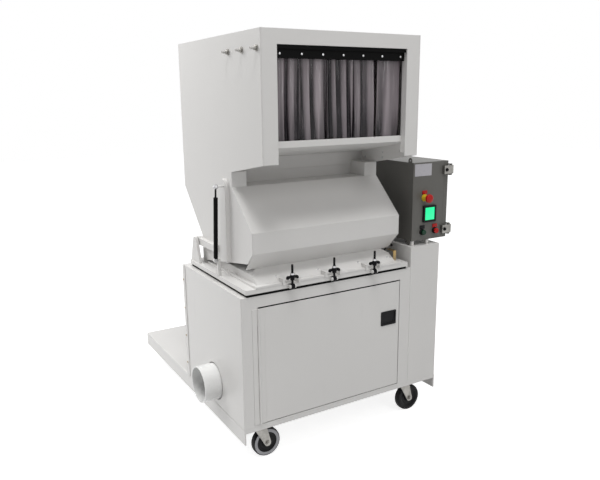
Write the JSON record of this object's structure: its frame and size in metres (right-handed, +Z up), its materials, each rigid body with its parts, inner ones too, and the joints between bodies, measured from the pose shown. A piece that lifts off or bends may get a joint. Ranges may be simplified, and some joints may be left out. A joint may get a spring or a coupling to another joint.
{
  "type": "industrial disintegrator",
  "caption": "Free-standing media shredder: wheeled cabinet with rotor and screen, tilting feed hopper with strip curtain, swing bolt clamps, control enclosure and round side outlet.",
  "frame": {"origin": "on the floor under the middle of the machine's bounding box", "axes": "+Z up, -Y to the front with the feed opening, -X to the side with the outlet pipe"},
  "size_m": [1.172, 1.376, 1.729],
  "materials": {
    "paint_white": "gloss powder coat",
    "enclosure_grey": "satin powder coat",
    "steel": "ground",
    "cast_iron": "machined",
    "motor_paint": "satin",
    "zinc": "bright zinc",
    "wheel_rubber": "matte",
    "gasket_rubber": "matte",
    "pipe_plastic": "gloss",
    "black_plastic": "satin",
    "black_steel": "black oxide",
    "chrome_rod": "polished",
    "yellow_zinc": "yellow zinc",
    "curtain_vinyl": "clear smoky",
    "red_plastic": "gloss",
    "green_plastic": "gloss"
  },
  "bodies": {
    "machine": {"base_deck": "paint_white", "caster_plates": "zinc", "cabinet_shell": "paint_white", "rear_cover": "paint_white", "cutting_chamber": "cast_iron", "sizing_screen": "steel", "discharge_chute": "steel", "outlet_pipe": "pipe_plastic", "motor": "motor_paint", "drive_belts": "gasket_rubber", "drive_guard": "paint_white", "chamber_gasket": "gasket_rubber", "chamber_plate": "paint_white", "hopper_supports": "paint_white", "interlock_switch": "black_plastic", "enclosure_body": "enclosure_grey", "control_bezels": "black_plastic", "panel_meter": "black_plastic"},
    "front_door": {"front_door": "paint_white", "latch_cup": "black_plastic"},
    "latch_paddle": {"latch_paddle": "black_plastic"},
    "rotor": {"rotor": "steel", "fly_knives": "steel"},
    "motor_pulley": {"motor_pulley": "steel"},
    "hopper": {"hopper_sides": "paint_white", "hopper_roof_back": "paint_white", "hopper_front": "paint_white", "feed_floor": "paint_white", "throat_front": "paint_white", "hopper_base": "paint_white", "hopper_fittings": "paint_white", "curtain_bar": "black_steel", "interlock_bracket": "yellow_zinc"},
    "strut_cylinder": {"strut_cylinder": "black_steel"},
    "strut_rod": {"strut_rod": "chrome_rod"},
    "enclosure_door": {"enclosure_door": "enclosure_grey"},
    "door_clamp_top": {"door_clamp_top": "black_steel"},
    "door_clamp_bottom": {"door_clamp_bottom": "black_steel"},
    "estop_button": {"estop_button": "red_plastic"},
    "start_button": {"start_button": "green_plastic"},
    "stop_button": {"stop_button": "red_plastic"},
    "swing_bolt_1": {"swing_bolt_1": "black_steel"},
    "clamp_bar_1": {"clamp_bar_1": "black_steel"},
    "swing_bolt_2": {"swing_bolt_2": "black_steel"},
    "clamp_bar_2": {"clamp_bar_2": "black_steel"},
    "swing_bolt_3": {"swing_bolt_3": "black_steel"},
    "clamp_bar_3": {"clamp_bar_3": "black_steel"},
    "caster_fork_front_left": {"caster_fork_front_left": "zinc"},
    "caster_wheel_front_left": {"caster_wheel_front_left": "wheel_rubber"},
    "caster_fork_front_right": {"caster_fork_front_right": "zinc"},
    "caster_wheel_front_right": {"caster_wheel_front_right": "wheel_rubber"},
    "caster_fork_rear_left": {"caster_fork_rear_left": "zinc"},
    "caster_wheel_rear_left": {"caster_wheel_rear_left": "wheel_rubber"},
    "caster_fork_rear_right": {"caster_fork_rear_right": "zinc"},
    "caster_wheel_rear_right": {"caster_wheel_rear_right": "wheel_rubber"},
    "curtain_strip_1": {"curtain_strip_1": "curtain_vinyl"},
    "curtain_strip_2": {"curtain_strip_2": "curtain_vinyl"},
    "curtain_strip_3": {"curtain_strip_3": "curtain_vinyl"},
    "curtain_strip_4": {"curtain_strip_4": "curtain_vinyl"},
    "curtain_strip_5": {"curtain_strip_5": "curtain_vinyl"}
  },
  "joints": [
    {"name": "front_door_hinge", "type": "hinge", "parent": "machine", "child": "front_door", "pos_m": [-0.4355, -0.604, 0.4305], "axis": [0, 0, -1], "range_deg": [0, 115]},
    {"name": "latch_paddle_hinge", "type": "hinge", "parent": "front_door", "child": "latch_paddle", "pos_m": [0.22, -0.596, 0.5356], "axis": [-1, 0, 0], "range_deg": [0, 35], "stiffness_Nm_per_rad": 0.05},
    {"name": "rotor_spin", "type": "hinge", "parent": "machine", "child": "rotor", "pos_m": [-0.083, -0.299, 0.6], "axis": [1, 0, 0], "continuous": true},
    {"name": "motor_spin", "type": "hinge", "parent": "machine", "child": "motor_pulley", "pos_m": [0.41, -0.084, 0.3], "axis": [1, 0, 0], "continuous": true},
    {"name": "hopper_tilt", "type": "hinge", "parent": "machine", "child": "hopper", "pos_m": [-0.083, -0.069, 0.86], "axis": [-1, 0, 0], "range_deg": [0, 45]},
    {"name": "strut_swing", "type": "hinge", "parent": "machine", "child": "strut_cylinder", "pos_m": [-0.498, -0.344, 0.83], "axis": [-1, 0, 0], "range_deg": [0, 36]},
    {"name": "strut_stroke", "type": "slide", "parent": "strut_cylinder", "child": "strut_rod", "axis": [0, -0.0862, 0.9963], "range_m": [0, 0.202]},
    {"name": "enclosure_door_hinge", "type": "hinge", "parent": "machine", "child": "enclosure_door", "pos_m": [0.5515, -0.27, 1.0255], "axis": [0, 0, 1], "range_deg": [0, 110]},
    {"name": "estop_press", "type": "slide", "parent": "machine", "child": "estop_button", "axis": [0, 1, 0], "range_m": [0, 0.005], "stiffness_N_per_m": 800},
    {"name": "start_press", "type": "slide", "parent": "machine", "child": "start_button", "axis": [0, 1, 0], "range_m": [0, 0.004], "stiffness_N_per_m": 500},
    {"name": "stop_press", "type": "slide", "parent": "machine", "child": "stop_button", "axis": [0, 1, 0], "range_m": [0, 0.004], "stiffness_N_per_m": 500},
    {"name": "door_clamp_top_hinge", "type": "hinge", "parent": "enclosure_door", "child": "door_clamp_top", "pos_m": [0.573, -0.589, 1.163], "axis": [0, 0, 1], "range_deg": [0, 100]},
    {"name": "door_clamp_bottom_hinge", "type": "hinge", "parent": "enclosure_door", "child": "door_clamp_bottom", "pos_m": [0.573, -0.589, 0.888], "axis": [0, 0, 1], "range_deg": [0, 100]},
    {"name": "swing_bolt_1_hinge", "type": "hinge", "parent": "machine", "child": "swing_bolt_1", "pos_m": [-0.287, -0.617, 0.753], "axis": [1, 0, 0], "range_deg": [0, 100]},
    {"name": "clamp_bar_1_turn", "type": "hinge", "parent": "swing_bolt_1", "child": "clamp_bar_1", "pos_m": [-0.287, -0.617, 0.792], "axis": [0, 0, 1], "range_deg": [0, 90]},
    {"name": "swing_bolt_2_hinge", "type": "hinge", "parent": "machine", "child": "swing_bolt_2", "pos_m": [-0.086, -0.617, 0.753], "axis": [1, 0, 0], "range_deg": [0, 100]},
    {"name": "clamp_bar_2_turn", "type": "hinge", "parent": "swing_bolt_2", "child": "clamp_bar_2", "pos_m": [-0.086, -0.617, 0.792], "axis": [0, 0, 1], "range_deg": [0, 90]},
    {"name": "swing_bolt_3_hinge", "type": "hinge", "parent": "machine", "child": "swing_bolt_3", "pos_m": [0.123, -0.617, 0.753], "axis": [1, 0, 0], "range_deg": [0, 100]},
    {"name": "clamp_bar_3_turn", "type": "hinge", "parent": "swing_bolt_3", "child": "clamp_bar_3", "pos_m": [0.123, -0.617, 0.792], "axis": [0, 0, 1], "range_deg": [0, 90]},
    {"name": "caster_front_left_swivel", "type": "hinge", "parent": "machine", "child": "caster_fork_front_left", "pos_m": [-0.419, -0.544, 0.14], "axis": [0, 0, 1], "continuous": true},
    {"name": "caster_front_left_roll", "type": "hinge", "parent": "caster_fork_front_left", "child": "caster_wheel_front_left", "pos_m": [-0.387, -0.544, 0.0635], "axis": [0, 1, 0], "continuous": true},
    {"name": "caster_front_right_swivel", "type": "hinge", "parent": "machine", "child": "caster_fork_front_right", "pos_m": [0.357, -0.544, 0.14], "axis": [0, 0, 1], "continuous": true},
    {"name": "caster_front_right_roll", "type": "hinge", "parent": "caster_fork_front_right", "child": "caster_wheel_front_right", "pos_m": [0.389, -0.544, 0.0635], "axis": [0, 1, 0], "continuous": true},
    {"name": "caster_rear_left_swivel", "type": "hinge", "parent": "machine", "child": "caster_fork_rear_left", "pos_m": [-0.419, 0.633, 0.14], "axis": [0, 0, 1], "continuous": true},
    {"name": "caster_rear_left_roll", "type": "hinge", "parent": "caster_fork_rear_left", "child": "caster_wheel_rear_left", "pos_m": [-0.387, 0.633, 0.0635], "axis": [0, 1, 0], "continuous": true},
    {"name": "caster_rear_right_swivel", "type": "hinge", "parent": "machine", "child": "caster_fork_rear_right", "pos_m": [0.357, 0.633, 0.14], "axis": [0, 0, 1], "continuous": true},
    {"name": "caster_rear_right_roll", "type": "hinge", "parent": "caster_fork_rear_right", "child": "caster_wheel_rear_right", "pos_m": [0.389, 0.633, 0.0635], "axis": [0, 1, 0], "continuous": true},
    {"name": "curtain_strip_1_swing", "type": "hinge", "parent": "hopper", "child": "curtain_strip_1", "pos_m": [-0.3178, -0.646, 1.65], "axis": [1, 0, 0], "range_deg": [0, 80]},
    {"name": "curtain_strip_2_swing", "type": "hinge", "parent": "hopper", "child": "curtain_strip_2", "pos_m": [-0.2004, -0.646, 1.65], "axis": [1, 0, 0], "range_deg": [0, 80]},
    {"name": "curtain_strip_3_swing", "type": "hinge", "parent": "hopper", "child": "curtain_strip_3", "pos_m": [-0.083, -0.646, 1.65], "axis": [1, 0, 0], "range_deg": [0, 80]},
    {"name": "curtain_strip_4_swing", "type": "hinge", "parent": "hopper", "child": "curtain_strip_4", "pos_m": [0.0344, -0.646, 1.65], "axis": [1, 0, 0], "range_deg": [0, 80]},
    {"name": "curtain_strip_5_swing", "type": "hinge", "parent": "hopper", "child": "curtain_strip_5", "pos_m": [0.1518, -0.646, 1.65], "axis": [1, 0, 0], "range_deg": [0, 80]}
  ],
  "couplings": [
    {"joint": "motor_spin", "follows": "rotor_spin", "ratio": 2.3276},
    {"joint": "strut_swing", "follows": "hopper_tilt", "ratio": 0.7867},
    {"joint": "strut_stroke", "follows": "hopper_tilt", "m_per_rad": 0.2558}
  ]
}
